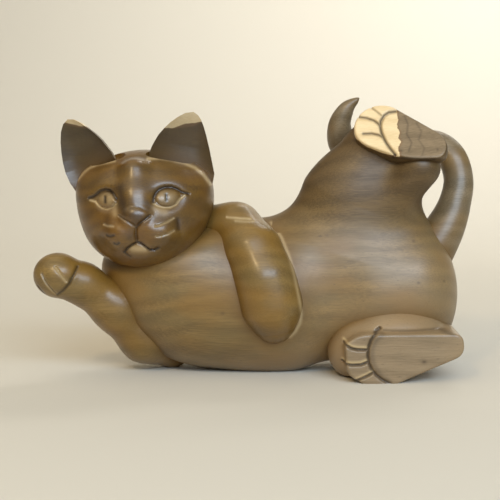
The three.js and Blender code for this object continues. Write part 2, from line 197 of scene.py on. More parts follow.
def smooth_path(points, steps):
    """A Catmull-Rom curve through the points, as steps points for each stretch and the last point."""
    q = np.asarray(points, float)
    q = np.vstack([2 * q[0] - q[1], q, 2 * q[-1] - q[-2]])
    t = np.linspace(0, 1, steps, endpoint=False)[:, None]
    a, b, c, d = (q[i:len(q) - 3 + i, None] for i in range(4))
    bend, twist = 2 * a - 5 * b + 4 * c - d, 3 * b - a - 3 * c + d
    curve = 0.5 * (2 * b + (c - a) * t + bend * t**2 + twist * t**3)
    return np.vstack([curve.reshape(-1, 3), q[-2]])


pair = join(8, egg((-10, 0, 0), (10, 10, 10)), egg((10, 0, 0), (10, 10, 10)))
print("two eggs that only touch, joined over 8 mm, are this deep there:", -pair(np.zeros((1, 3))))

# %% [markdown]
# A carver works the block from outside; here the same surface is found from inside. Rays leave a
# spine through the middle of a piece and walk outwards until they meet the surface. Rays in even
# rings give a clean two-parameter grid, which suits limbs and bodies far better than the ragged
# triangles of a remesh, and fine rows can be spent where the knife work is.

# %% Walk rays out to the surface
MOST_STEPS, STEP_SHARE, NEAR_ENOUGH = 90, 0.8, 0.002
SPINE_STEPS, TRIAL_ROWS, TRIAL_TURNS = 24, 150, 48


def cast(field, start, way):
    """Each ray moves on by STEP_SHARE of the distance that the field gives, until that is tiny."""
    far = np.ones(len(start))
    live = np.arange(len(start))
    for _ in range(MOST_STEPS):
        gap = field(start[live] + far[live, None] * way[live])
        far[live] -= STEP_SHARE * gap
        live = live[np.abs(gap) > NEAR_ENOUGH]
        if not len(live):
            break
    return start + far[:, None] * way


def rays(spine, rows, around, seam, crowd):
    """Rays for row numbers 0 to 3: 0 to 1 fans over the spine's start, 1 to 2 walks along it, 2 to 3
    fans over its end. Around it they start at the seam, and crowd there: turn - crowd * sin(turn)."""
    path = smooth_path(spine, SPINE_STEPS)
    share = np.clip(rows - 1, 0, 1)
    tilt = (np.clip(rows, 0, 1) - 1 + np.clip(rows - 2, 0, 1)) * np.pi / 2
    along, walked = np.gradient(path, axis=0), np.linspace(0, 1, len(path))
    start = np.stack([np.interp(share, walked, path[:, i]) for i in range(3)], -1)
    along = unit(np.stack([np.interp(share, walked, along[:, i]) for i in range(3)], -1))
    side = unit(np.cross(along, seam))
    front = np.cross(side, along)
    turn = np.linspace(0, 2 * np.pi, around, endpoint=False)
    turn = (turn - crowd * np.sin(turn))[:, None]
    flat = front[:, None] * np.cos(turn) + side[:, None] * np.sin(turn)
    way = flat * np.cos(tilt)[:, None, None] + along[:, None] * np.sin(tilt)[:, None, None]
    return np.repeat(start, around, axis=0), way.reshape(-1, 3)


def skin(field, spine, rows, around, seam=(0, -1, 0), crowd=0.0, finer=1.0):
    """A closed grid. A coarse cast measures the widest step from row to row, and the final rows are
    spread so that this step is even, or finer times smaller over the end of the spine."""
    trial = np.linspace(0.01, 2.99, TRIAL_ROWS)
    coarse = cast(field, *rays(spine, trial, TRIAL_TURNS, seam, crowd)).reshape(TRIAL_ROWS, TRIAL_TURNS, 3)
    step = np.linalg.norm(np.diff(coarse, axis=0), axis=-1).max(1) * np.where(trial[1:] > 2, finer, 1)
    walked = np.r_[0, np.cumsum(step)]
    even = np.interp(np.linspace(0, walked[-1], rows), walked, trial)
    start, way = rays(spine, even, around, seam, crowd)
    first, last = rays(spine, np.array([0.0, 3.0]), 1, seam, crowd)
    start, way = np.vstack([first[:1], start, first[1:]]), np.vstack([last[:1], way, last[1:]])
    return cast(field, start, way), rows, around


ball_grid = skin(egg((0, 0, 0), (10, 10, 10)), [(-2, 0, 0), (2, 0, 0)], 12, 16)
print("a ball of 12 rings by 16 turns and two poles:", len(ball_grid[0]), "points")

# %% [markdown]
# A grid of points becomes a mesh in one go. Writing whole arrays with foreach_set is hundreds of
# times quicker than adding faces one by one, and the same function serves every grid in the lesson.

# %% From a grid of points to an object
def make_mesh(name, points, quads, triangles):
    """One closed mesh from points in block millimetres and two tables of corners."""
    mesh = bpy.data.meshes.new(name)
    corners = np.r_[quads.ravel(), triangles.ravel()].astype(np.int32)
    sizes = np.r_[np.full(len(quads), 4), np.full(len(triangles), 3)].astype(np.int32)
    mesh.vertices.add(len(points))
    mesh.loops.add(len(corners))
    mesh.polygons.add(len(sizes))
    mesh.vertices.foreach_set("co", to_metres(points).astype(np.float32).ravel())
    mesh.loops.foreach_set("vertex_index", corners)
    mesh.polygons.foreach_set("loop_start", (np.cumsum(sizes) - sizes).astype(np.int32))
    mesh.update(calc_edges=True)
    mesh.validate()
    piece = bpy.data.objects.new(name, mesh)
    bpy.context.scene.collection.objects.link(piece)
    return piece


def from_grid(name, grid):
    """Rows of turns with a pole before the first row and one after the last, faces turned outwards."""
    points, rows, around = grid
    here = 1 + np.arange(rows * around).reshape(rows, around)
    beside = np.roll(here, -1, axis=1)
    quads = np.stack([here[:-1], beside[:-1], beside[1:], here[1:]], -1).reshape(-1, 4)
    first = np.stack([np.zeros(around, int), beside[0], here[0]], -1)
    last = np.stack([np.full(around, len(points) - 1), here[-1], beside[-1]], -1)
    return make_mesh(name, points, quads, np.vstack([first, last]))


# %% [markdown]
# Two pieces meet in a crisp line where the knife has followed the joint. A Boolean modifier finds
# that line exactly; its result is applied at once, because the next steps look at the final points.

# %% Carve one piece with another
def apply_modifiers(piece):
    """Puts the result of the piece's modifiers into its mesh."""
    result = bpy.data.meshes.new_from_object(piece.evaluated_get(bpy.context.evaluated_depsgraph_get()))
    old, piece.data = piece.data, result
    bpy.data.meshes.remove(old)
    piece.modifiers.clear()


def carve(piece, operation, tool, tool_stays=False):
    """DIFFERENCE, INTERSECT or UNION of a piece with a tool."""
    cut = piece.modifiers.new("carve", "BOOLEAN")
    cut.operation, cut.solver, cut.object = operation, "MANIFOLD", tool
    apply_modifiers(piece)
    if not tool_stays:
        bpy.data.objects.remove(tool)
    return piece


def prism(name, outline, thick=150.0):
    """An outline in X and Z, counterclockwise from the front, stretched by thick both ways in Y."""
    n = len(outline)
    front = np.array([[x, -thick, z] for x, z in outline])
    back = front + (0, 2 * thick, 0)
    i = np.arange(n)
    sides = np.stack([i, i + n, (i + 1) % n + n, (i + 1) % n], -1)
    caps = np.array([[0, k, k + 1] for k in range(1, n - 1)])
    return make_mesh(name, np.vstack([front, back]), sides, np.vstack([caps, caps[:, ::-1] + n]))


def points_of(piece):
    """All the points of a piece, in block millimetres."""
    co = np.empty(len(piece.data.vertices) * 3, np.float32)
    piece.data.vertices.foreach_get("co", co)
    return to_block(co.reshape(-1, 3))


def move_points(piece, points):
    """Writes new places for all the points of a piece."""
    piece.data.vertices.foreach_set("co", to_metres(points).astype(np.float32).ravel())
    piece.data.update()


# %% [markdown]
# Knife lines are given as strings of points, as a carver pencils them on the front of the block.
# Each has a depth, half a width, and two shares that the finish uses later: how dark it is, from wax
# left in the cut and, on a few lines, painted shade, and how much painted highlight lies along it.

# %% Knife lines
FAR_OFF, PALE_SPREAD = 1000.0, 1.3


def off_line(p, points):
    """Distance, seen from the front, from each place to a string of points."""
    q = p[:, (0, 2)]
    best = np.full(len(q), FAR_OFF)
    for a, b in zip(np.array(points[:-1], float), np.array(points[1:], float)):
        t = np.clip((q - a) @ (b - a) / ((b - a) @ (b - a)), 0, 1)
        best = np.minimum(best, np.linalg.norm(q - a - t[:, None] * (b - a), axis=1))
    return best


def cut_lines(p, lines):
    """Depth, dark share and pale share of knife lines: each is a bell of the distance to its line."""
    depth, dark, pale = np.zeros((3, len(p)))
    for deep, half, darkness, paleness, points in lines:
        away = off_line(p, points) / half
        bell = np.exp(-away ** 2)
        depth = np.maximum(depth, deep * bell)
        dark = np.maximum(dark, darkness * bell)
        pale = np.maximum(pale, paleness * np.exp(-(away / PALE_SPREAD) ** 2))
    return depth, dark, pale


def engrave(piece, lines, strength):
    """Pushes points straight back by the lines' depth, times a strength that depends on their Y."""
    marks = points_of(piece)
    depth, _, _ = cut_lines(marks, lines)
    move_points(piece, marks + np.outer(depth * strength(marks[:, 1]), (0, 1, 0)))
    print(piece.name, len(marks), "points, deepest cut", round(float(depth.max()), 1), "mm")


a_cut = [(1.0, 1.0, 0.0, 0.0, [(0, -5), (0, 5)])]
beside = cut_lines(np.ones((1, 3)), a_cut)[0]
print("1 mm beside its line, a cut 1 mm deep is still", np.round(beside, 2), "mm deep")


def write_share(piece, name, values):
    """Stores one number for each point, for the materials to read."""
    share = piece.data.attributes.get(name) or piece.data.attributes.new(name, "FLOAT", "POINT")
    share.data.foreach_set("value", np.clip(values, 0, 1).astype(np.float32))


# %% [markdown]
# The trunk is four round masses: chest, belly, haunch and rump. The raised hind leg grows out of it
# with a wide, soft hollow, so both come from one field. Each is made a little too long, and then the
# same wedge is cut from one and kept of the other, so that they meet without a step.

# %% Trunk and raised leg
CHEST_TILT = axes((0.4, 0, 0.92), (0.92, 0, -0.4))
trunk = keep(
    8,
    join(
        18,
        egg((-40, 0, 66), (76, 50, 60), CHEST_TILT),
        egg((18, 0, 57), (62, 46, 57)),
        egg((94, 2, 58), (56, 46, 56)),
        egg((121, 4, 62), (26, 38, 49)),
    ),
    behind((-70, -8, 103), (-0.3, -0.3, 0.9)),
)
thigh = limb([(69, 2, 92), (79, 0, 126), (95, -4, 158)], [52, 42, 33], 12, 0.66)
ankle = bar((120, -26, 154), (90, -6, 116), 15, 16)
tail_bridge = bar((97, 6, 156), (102, 23, 163), 11, 8)
body = join(12, join(24, trunk, thigh), ankle, tail_bridge)
HIP, HIP_AXIS = (76, 2, 112), np.array([-0.09, 0, 1])
GROIN, GROIN_AXIS = (12, 0, 106), np.array([-1, 0, 0.25])
HIP_SPARE = 14


def hip_side(spare):
    """The wedge above the hip plane and to the right of the groin plane, made wider by spare."""
    return keep(0.1, behind(HIP, -HIP_AXIS, spare), behind(GROIN, GROIN_AXIS, spare))


# The wedge itself, in X and Z: both planes leave from its first corner.
HIP_WEDGE = [(12.06, 106.245), (300, 132.16), (300, 300), (60.5, 300)]
torso_grid = skin(
    without(0.1, body, hip_side(-HIP_SPARE)),
    [(-66, 0, 66), (0, 0, 58), (70, 0, 58), (112, 2, 60)], 290, 320, seam=(0, 0, -1),
)
torso = carve(from_grid("carved_body", torso_grid), "DIFFERENCE", prism("wedge", HIP_WEDGE))
print("body:", len(torso.data.vertices), "points")

# %% [markdown]
# The raised foot is a rounded slab across the end of the leg. Its sole faces up and to the front.
# The toes are only drawn on it with the knife, square to the sole. The leg stops just short of the
# sole, so that the slab's own clean edge shows.

# %% Raised leg and foot
RAISED_SOLE = unit((-0.12, -0.82, 0.55))
RAISED_FRAME = axes(RAISED_SOLE, (0.88, 0.1, -0.46))
RAISED_FOOT = np.array([103.0, -26, 177])
SOLE_HEIGHT, LEG_HEIGHT = 4.5, 3.5
ALONG_SOLE, ACROSS_SOLE = RAISED_FRAME[:2]
ball = RAISED_FOOT - 12 * ALONG_SOLE + 1.5 * ACROSS_SOLE - 2 * RAISED_SOLE
heel = RAISED_FOOT + 23.5 * ALONG_SOLE - 5 * ACROSS_SOLE - 2 * RAISED_SOLE
slab = keep(
    3, bar(ball, heel, 20, 15.5),
    keep(3, behind((110, -42, 160), (0, -0.25, -0.97)), behind((84, -42, 170), (-0.5, -0.2, -0.84))),
)
raised_foot = keep(1.5, slab, behind(RAISED_FOOT, RAISED_SOLE, SOLE_HEIGHT))
RAISED_LINES = [
    (1.9, 1.1, 0.9, 0.1, [(103, 194.5), (98, 193.8), (94.5, 191.5), (92, 187.5), (91.3, 183.5), (92, 179)]),
    (1.9, 1.1, 0.9, 0.1, [(92, 179), (93.2, 175.5), (95, 171.5), (97.5, 167.5), (100.5, 163.5)]),
    (1.6, 1.0, 0.8, 0.1, [(77, 190.5), (82, 189.8), (87, 188), (90, 185.7), (91.3, 183.5)]),
    (1.0, 0.8, 0.5, 0.1, [(84.5, 198.5), (89.5, 194.5), (93.5, 190.8)]),
    (1.6, 1.0, 0.8, 0.1, [(79, 178.3), (85, 178.5), (90, 177.4), (93, 175.5)]),
    (0.0, 0.7, 0.45, 0.0, [(109, 191), (111, 185), (109.5, 178), (112.5, 172), (110, 166)]),
    (0.0, 0.7, 0.35, 0.0, [(117, 186), (120, 180), (117.5, 174), (121, 168), (119, 163)]),
    # Painted shadow under the sole's lower edge, over a shallow cut.
    (0.6, 1.0, 0.7, 0.0, [(99, 161.5), (110, 160.6), (120, 160.4), (128, 160.2)]),
]
leg_flesh = keep(2, body, behind(RAISED_FOOT, RAISED_SOLE, LEG_HEIGHT))
thigh_grid = skin(
    keep(0.1, leg_flesh, hip_side(HIP_SPARE)), [(60, 2, 112), (76, 0, 128), (90, -2, 146)], 170, 300,
)
raised_leg = carve(from_grid("raised_hind_leg", thigh_grid), "INTERSECT", prism("wedge", HIP_WEDGE))
sole_spine = [RAISED_FOOT - 14 * RAISED_SOLE, RAISED_FOOT - 6 * RAISED_SOLE]
foot_grid = skin(raised_foot, sole_spine, 150, 300, seam=-ALONG_SOLE, crowd=0.4, finer=2)
foot = from_grid("foot", foot_grid)
marks = points_of(foot)
depth, _, _ = cut_lines(marks, RAISED_LINES)
near_sole = np.clip((marks - RAISED_FOOT) @ RAISED_SOLE / 6 + 1.2, 0, 1)
move_points(foot, marks - (depth * near_sole)[:, None] * RAISED_SOLE)
carve(raised_leg, "UNION", foot)
print("raised leg:", len(raised_leg.data.vertices), "points")

# %% [markdown]
# The other hind leg lies on the table with its sole to the front. The sole is a flat with its own
# outline, like a shoe print, and stands a little proud of the leg above it; the toes are a fan.

# %% Resting leg
RESTING_LINES = [
    (1.7, 1.2, 0.85, 0.0, [(89.5, 40.5), (85.5, 37.5), (82.5, 33.5), (80.6, 28), (80.3, 22.5)]),
    (1.7, 1.2, 0.85, 0.0, [(80.3, 22.5), (81, 17.5), (83, 13), (86.5, 8.5), (91, 5), (96, 2.5)]),
    (0.0, 1.9, 0.35, 0.0, [(91, 38), (86, 33.5), (83.5, 28), (83.2, 21), (85, 15), (90, 8), (96, 4)]),
    # The lines 2 mm above the toe cuts are painted highlight on the cuts' upper lips.
    (1.8, 1.0, 0.8, 0.0, [(64.5, 30.3), (65.5, 29.6), (69, 27.6), (73, 26.8), (79.5, 26.6)]),
    (0.0, 0.8, 0.0, 0.9, [(64.5, 32.3), (65.5, 31.5), (69, 29.4), (73, 28.6), (79, 28.4)]),
    (1.8, 1.0, 0.8, 0.0, [(63.5, 17), (64.5, 16.5), (69, 15.8), (75.5, 16), (80, 17.8)]),
    (0.0, 0.8, 0.0, 0.9, [(63.5, 18.7), (64.5, 18.2), (69, 17.5), (75, 17.7), (79.5, 19.6)]),
    (1.8, 1.0, 0.7, 0.0, [(69, 3.0), (75, 5.8), (80, 8), (84, 10.2)]),
    (0.0, 0.8, 0.0, 0.9, [(69, 4.7), (75, 7.5), (80, 9.8), (84, 12)]),
    (0.0, 0.9, 0.5, 0.0, [(92, 39.6), (110, 39.2), (132, 39.2), (141, 37)]),
]
sole_sides = keep(
    7,
    keep(2, behind((110, 0, 40.6), (0, -0.05, 1)), behind((122.5, 0, 11), (0.39, 0, -0.92))),
    keep(2, behind((148.5, 0, 30), (1, 0, 0.1)), behind((65, 0, 18), (-0.99, 0, -0.1))),
)
sole_corners = keep(4, behind((73, 0, 37), (-0.57, 0, 0.82)), behind((74, 0, 4), (-0.5, 0, -0.86)))
sole = keep(
    2.5,
    keep(4, sole_sides, sole_corners),
    keep(2, behind((103, -59, 21), (0.03, -1, 0)), behind((103, -18, 21), (0, 1, 0))),
)
leg_mass = join(8, egg((101, -20, 30), (42, 34.5, 27)), egg((74, -30, 21), (20, 21, 20)))
resting_field = join(3, leg_mass, sole)
resting_spine = [(103, -36, 21), (103.2, -44, 21)]
resting_leg = from_grid(
    "resting_hind_leg",
    skin(resting_field, resting_spine, 250, 380, seam=(-1, 0, 0), crowd=0.35, finer=2.5),
)
engrave(resting_leg, RESTING_LINES, lambda y: np.clip((-30 - y) / 10, 0, 1))

# %% [markdown]
# The forelegs are round limbs. One reaches out and ends in a ball of a paw with four knife cuts;
# the other is folded over the belly, where a painted highlight follows its edge.
# the other is folded over the belly, where a pale line of bare wood follows its edge.

# %% Forelegs
REACH = [(-140, -34, 76), (-124, -29, 70), (-101, -19, 51), (-81, -8, 28), (-62, 6, 15)]
reaching_field = join(
    3, limb(REACH, [15, 14, 17, 18.5, 13.5], 8), egg((-141, -35, 77), (17.5, 16, 16)),
)
PAW_LINES = [
    (1.4, 0.8, 0.6, 0.8, [(-150, 79), (-147, 73), (-141, 65)]),
    (1.2, 0.8, 0.3, 0.9, [(-140, 84), (-136.5, 79), (-133, 74)]),
    (1.2, 0.8, 0.9, 0.0, [(-154, 70), (-150, 64.5)]),
    (1.5, 1.1, 0.8, 0.0, [(-126, 83.5), (-127.5, 79), (-131, 72), (-135, 67.5), (-140, 64)]),
]
PAW_FRONT, SHOULDER_FRONT = -36, -14
reaching_leg = from_grid("reaching_foreleg", skin(reaching_field, REACH, 270, 220))
engrave(reaching_leg, PAW_LINES, lambda y: y < PAW_FRONT)

FOLD = [(-33, -3, 110), (-13, -15, 109), (-1, -31, 94), (8, -40, 74), (13, -41, 55), (15, -36, 42)]
folded_field = limb(FOLD, [16, 17, 19, 19.5, 19.5, 14], 12)
SHOULDER_LINES = [
    (0.8, 0.6, 0.2, 0.9, [(-19, 118.5), (-10, 117.7), (-2, 117.6)]),
    (0.7, 0.6, 0.2, 0.7, [(-13, 116), (-6, 115.6), (0, 116)]),
]
# Painted highlight along the folded leg's edge, on the leg and on the body beside it.
FOLD_EDGE_HIGHLIGHT = [
    (0.0, 0.9, 0.0, 0.6, [(13, 113.5), (20, 104), (25, 92), (28.5, 80), (31, 68), (33, 58), (34, 50)]),
    (0.0, 0.9, 0.0, 0.6, [(34, 50), (33, 43), (30, 37), (26, 33)]),
]
folded_leg = from_grid("folded_foreleg", skin(folded_field, FOLD, 230, 230, seam=(0, 0, 1)))
engrave(folded_leg, SHOULDER_LINES, lambda y: y < SHOULDER_FRONT)

# %% [markdown]
# The tail is a round bar that is carried along a curve. Rings square to the curve are enough, so it
# needs no rays: each ring is the curve's point plus a circle in the two directions across it.

# %% Tail
TAIL = [
    (131, 4, 90), (144, 6, 108), (152, 9, 127), (155, 12, 145), (150, 17, 162), (137, 25, 171),
    (115, 36, 168), (88, 40, 163), (70, 33, 170), (66, 26, 185), (71, 22, 198), (80, 19, 206),
]
TAIL_RADII = [20, 15, 12, 11, 11, 11, 11, 11, 11, 9, 6, 1.4]


def sweep(path, radii, around):
    """Circles along a path: point + radius * (cos, sin) in two directions that turn with the path."""
    along = unit(np.gradient(path, axis=0))
    side = unit(np.cross(along, (0, 1, 0.2)))
    front = np.cross(side, along)
    turn = np.linspace(0, 2 * np.pi, around, endpoint=False)[:, None]
    ring = front[:, None] * np.cos(turn) + side[:, None] * np.sin(turn)
    points = (path[:, None] + ring * radii[:, None, None]).reshape(-1, 3)
    return np.vstack([path[:1], points, path[-1:] + radii[-1] * along[-1:]]), len(path), around


TAIL_STEPS, BLUR_RINGS, TIP_RINGS = 26, 10, 8
tail_path = smooth_path(TAIL, TAIL_STEPS)
tail_share = np.linspace(0, len(TAIL) - 1, len(tail_path))
tail_radii = np.interp(tail_share, np.arange(len(TAIL)), TAIL_RADII)
kernel = np.hanning(2 * BLUR_RINGS + 1)
tail_radii[BLUR_RINGS:-BLUR_RINGS] = np.convolve(tail_radii, kernel / kernel.sum(), "valid")
tail_radii[-TIP_RINGS:] *= np.sqrt(1 - np.linspace(0, 0.97, TIP_RINGS) ** 2)
tail = from_grid("tail", sweep(tail_path, tail_radii, 120))
print("tail:", len(tail_path), "rings")

# %% [markdown]
# The head is a skull and a jaw melted into one, two whisker pads, a chin, and a bridge that runs
# down to a wedge of a nose. It stays smooth: the eyes, lids, mouth and whiskers are low relief.

# %% Masses of the head
skull = join(16, egg((-79, -18, 130), (50, 42, 37)), egg((-80, -30, 110), (39, 34, 28)))
ear_roots = join(4, egg((-114, -20, 141), (12.5, 14, 13)), egg((-45, -20, 142), (12.5, 14, 13)))
muzzle = join(
    3.5,
    egg((-91.5, -55.5, 108.5), (12.5, 11.5, 10)),
    egg((-68.5, -56, 109.5), (13.5, 11.5, 11)),
    egg((-79, -51.5, 97), (10.5, 10.5, 7)),
)
BRIDGE = [(-84, -49, 152), (-83.5, -55, 134), (-82, -60, 122)]
bridge = limb(BRIDGE, [8, 7.5, 8], 8)
NOSE_POINT = (-82, -60, 113.8)
nose = keep(
    2.5,
    egg((-82, -60.2, 121), (11.5, 9, 8)),
    keep(1.5, behind(NOSE_POINT, (-0.58, 0.2, -0.82)), behind(NOSE_POINT, (0.58, 0.2, -0.82))),
)
bare_head = join(3, join(8, join(6, join(9, skull, ear_roots), muzzle), bridge), nose)
print("a point before the brow lies outside the wood by", bare_head(np.array([[-82.0, -60, 150]])))

# %% [markdown]
# The face is drawn before it is cut. Each line is (depth, half width, dark, pale, points), where pale
# is painted highlight; lines with no depth only colour the wood. The upper lids are deep dark cuts,
# the lower lids are shallow cuts with painted highlight along them, and the pupils are short upright cuts.

# %% Lines of the face
LIDS = [
    (1.5, 1.15, 1.0, 0.0, [(-116.5, 132.8), (-113, 133.8), (-110.5, 135.6), (-107.5, 138), (-104, 139),
                           (-100.7, 138.3), (-98, 136.2), (-95.5, 132.6)]),
    (1.5, 1.15, 1.0, 0.0, [(-69.6, 130.6), (-69.6, 133.7), (-68.2, 136.8), (-65.8, 139.3), (-62, 140.6),
                           (-57.7, 140.7), (-53.8, 139.2), (-50.5, 137.1), (-46, 135.9)]),
    (0.6, 0.65, 0.0, 0.8, [(-115.5, 131.6), (-111, 130.6), (-108.7, 128.0), (-106, 126.3), (-102, 125.6),
                           (-98, 127.0), (-95.5, 129.5)]),
    (0.6, 0.65, 0.0, 0.8, [(-69.5, 129.7), (-67, 127.9), (-63, 126.7), (-58.5, 126.8), (-54.6, 128.6),
                           (-51.8, 132.4), (-48.5, 135)]),
    (0.6, 1.15, 1.0, 0.0, [(-103.8, 134.0), (-103.6, 130.4)]),
    (0.6, 1.15, 1.0, 0.0, [(-60.8, 135.6), (-60.6, 132.0)]),
]
# Marks with no depth. The dark band down the left side of the bridge is painted shade, and the pale marks
# on the eyes, beside the nose and on the lower lip are painted highlight. The rest darken the wood beside
# the right eye's inner corner, on the nose, under it and on a fold of the left pad, and lighten it under
# the right eye.
FACE_TONES_AND_PAINTED_LIGHT = [
    (0.0, 3.0, 0.0, 0.4, [(-105.5, 132.4), (-101, 132)]),
    (0.0, 3.2, 0.0, 0.4, [(-62.5, 133.6), (-58, 133.6)]),
    (0.0, 1.8, 0.0, 0.45, [(-97, 128), (-96, 122.5)]),
    (0.0, 2.0, 0.0, 0.4, [(-68, 126.5), (-62, 124)]),
    (0.0, 2.2, 0.0, 0.55, [(-84, 98.5), (-76, 98.5)]),
    (0.0, 3.4, 0.72, 0.0, [(-92.5, 140), (-91, 131), (-89, 123)]),
    (0.0, 2.4, 0.35, 0.0, [(-73.5, 130), (-72.5, 125), (-76, 119)]),
    (0.0, 4.2, 0.65, 0.0, [(-85, 123), (-79, 121), (-81.5, 117)]),
    (0.0, 3.6, 0.4, 0.0, [(-84, 111), (-86, 106)]),
    (0.0, 2.6, 0.4, 0.0, [(-102, 120), (-101.5, 112)]),
]
NOSE_AND_MOUTH = [
    (1.5, 1.0, 0.6, 0.2, [(-93, 121.3), (-89.5, 119), (-85.5, 116.7), (-81.7, 114)]),
    (1.8, 1.1, 0.95, 0.0, [(-72, 121.5), (-75.5, 118.6), (-78.6, 116.3), (-81.2, 113.2)]),
    (1.8, 1.3, 0.6, 0.0, [(-81.2, 113), (-81.7, 109), (-81, 103.5)]),
    (1.8, 0.95, 1.0, 0.0, [(-90.5, 95.5), (-87.9, 98.8), (-84.8, 100.9), (-81, 103.2), (-77.8, 102)]),
    (1.8, 0.95, 1.0, 0.0, [(-77.8, 102), (-75.3, 100), (-72.4, 97.6), (-69.3, 97.4), (-66.5, 98.8)]),
    (1.2, 1.0, 0.8, 0.0, [(-90, 96), (-88.8, 94), (-86.3, 92.4)]),
    (0.3, 1.2, 0.35, 0.0, [(-92, 124.5), (-88.5, 127), (-84.5, 128.2), (-78.5, 127.2), (-72.5, 124)]),
    (0.0, 1.2, 0.6, 0.0, [(-85.4, 126.2), (-83.4, 126.4)]),
]
WHISKERS = [
    (0.9, 0.6, 0.3, 0.7, [(-104.2, 115), (-101.5, 114.2), (-97, 114.3)]),
    (1.0, 1.0, 1.0, 0.1, [(-102, 107.6), (-99.5, 106.9), (-96.8, 107.7)]),
    (1.0, 1.0, 1.0, 0.1, [(-96.8, 101.9), (-94.8, 101.4), (-93.2, 102.4)]),
    (0.9, 0.6, 0.3, 0.7, [(-68.2, 114.3), (-64.7, 115), (-60, 117), (-56, 119.4)]),
    (0.9, 0.6, 0.3, 0.65, [(-67.4, 107.2), (-63.9, 107.2), (-60, 108.4), (-55.6, 110.8)]),
    (1.2, 1.8, 0.7, 0.0, [(-53, 118), (-52.6, 112)]),
]
FACE_LINES = LIDS + NOSE_AND_MOUTH + WHISKERS
print("the face has", len(FACE_LINES), "cuts and", len(FACE_TONES_AND_PAINTED_LIGHT), "stains")

# %% [markdown]
# An eyeball can't stand out of a carved face, so it lies in a shallow pit of its own. Pit and eyeball
# are added to the head's front together with the knife lines.

# %% Carve the head
# Each eye: X, Z, half its width, half its height.
EYES = np.array([(-102.5, 132.0, 7.2, 6.0), (-60.0, 133.6, 8.4, 6.2)])
EYEBALL, PIT, PIT_SPREAD = 3.0, 2.4, 1.35


def eye_relief(p):
    """Height of the eyes. With r the distance in half widths: EYEBALL * (1 - r * r) ** 0.6, less a
    pit of PIT * exp(-(r / PIT_SPREAD) ** 4)."""
    height = np.zeros(len(p))
    for x, z, half_x, half_z in EYES:
        r = np.hypot((p[:, 0] - x) / half_x, (p[:, 2] - z) / half_z)
        height += EYEBALL * np.clip(1 - r * r, 0, 1) ** 0.6 - PIT * np.exp(-(r / PIT_SPREAD) ** 4)
    return height


HEAD_SPINE = [(-108, -24, 128), (-78, -24, 126), (-48, -24, 128)]
head = from_grid("head", skin(bare_head, HEAD_SPINE, 290, 320, crowd=0.55))
marks = points_of(head)
depth, _, _ = cut_lines(marks, FACE_LINES)
front = np.clip((-32 - marks[:, 1]) / 8, 0, 1)
move_points(head, marks + np.outer((depth - eye_relief(marks)) * front, (0, 1, 0)))
print("head:", len(marks), "points, nose at y =", round(float(points_of(head)[:, 1].min()), 1))

# %% [markdown]
# An ear is a shell like half a tulip petal. Its cross-section at any height is a crescent: an oval
# back and a hollowed front that meet in a thin rounded rim. Carrying that crescent up a straight
# middle line while it narrows gives the whole ear as one grid.

# %% Shape of the ears
# The widths left and right of the middle line, as it is seen from the front, at shares of its height.
EARS = {
    "right": dict(
        base=(-114.5, -27, 140), tip=(-134.5, -22, 188.5), facing=(-0.42, -0.88, 0.2),
        left=[(0, 14.3), (0.2, 16.7), (0.35, 17), (0.5, 15.8), (0.63, 14), (0.77, 11.4), (0.89, 8.3),
              (0.97, 4.6), (1, 0.6)],
        right=[(0, 21.5), (0.2, 22), (0.35, 21), (0.55, 17.8), (0.67, 14.9), (0.77, 11.8), (0.89, 7.8),
               (0.97, 4.1), (1, 0.6)],
    ),
    "left": dict(
        base=(-51, -29, 143), tip=(-43.5, -23, 193.8), facing=(0.3, -0.93, 0.2),
        left=[(0, 25), (0.32, 26.2), (0.42, 25.4), (0.5, 24), (0.61, 21.8), (0.71, 18.6), (0.8, 15.2),
              (0.89, 10.8), (0.97, 5.6), (1, 0.9)],
        right=[(0, 21), (0.2, 21.4), (0.35, 18.6), (0.54, 15.1), (0.7, 11.8), (0.83, 8.8), (0.92, 6.1),
               (0.97, 3.8), (1, 0.8)],
    ),
}
EAR_BACK, EAR_HOLLOW, FULL_WIDTH, EAR_SINK = 13.0, 6.4, 16, 4
TO_THE_FRONT = np.array([0, -1, 0])


def ear_axes(base, tip, facing):
    """The ear's own directions: up its middle line, across it to the right, and out of its face."""
    up = unit(np.subtract(tip, base))
    side = unit(np.cross(up, facing))
    return up, side, np.cross(side, up)


def ear_grid(base, tip, facing, left, right, rows=120, around=200):
    """Row t, turn w: the middle line at t, plus a width times cos w, plus a depth. The back's depth is
    EAR_BACK * |sin w| ** 0.8, the hollow's EAR_HOLLOW * (1 - |cos w| ** 2.4) * (1 - t ** 5)."""
    up, side, front = ear_axes(base, tip, facing)
    seen = side @ unit(np.cross(up, TO_THE_FRONT))
    t = np.sin(np.linspace(0, np.pi / 2, rows))[:, None]
    wide_left = np.interp(t, *np.array(left, float).T) / seen
    wide_right = np.interp(t, *np.array(right, float).T) / seen
    turn = np.linspace(0, 2 * np.pi, around, endpoint=False)[None]
    across = np.where(np.cos(turn) > 0, wide_right, wide_left) * np.cos(turn)
    narrow = np.minimum(1, np.minimum(wide_left, wide_right) / FULL_WIDTH)
    share = np.abs(np.cos(turn))
    back = -EAR_BACK * narrow ** 0.8 * np.abs(np.sin(turn)) ** 0.8
    hollow = -EAR_HOLLOW * narrow * (1 - share ** 2.4) * (1 - t ** 5)
    deep = np.where(np.sin(turn) < 0, hollow, back)
    middle = np.array(base) + t[..., None] * np.subtract(tip, base)
    place = middle + across[..., None] * side + deep[..., None] * front
    inside, end = np.array(base) - EAR_SINK * front, np.array(tip) + 0.4 * up
    return np.vstack([inside, place.reshape(-1, 3), end]), rows, around


ears = {name: from_grid("ear_" + name, ear_grid(**numbers)) for name, numbers in EARS.items()}
for ear in ears.values():
    print(ear.name, len(ear.data.vertices), "points")

# %% [markdown]
# Behind the forehead the carver has scooped the wood away down to the root of each ear, which leaves
# a crest between forehead and ear. The scoops are cut from the head; then every guest piece is coped
# to the piece that it sits on, the way a joint is cut, so that each crease is one sharp line.

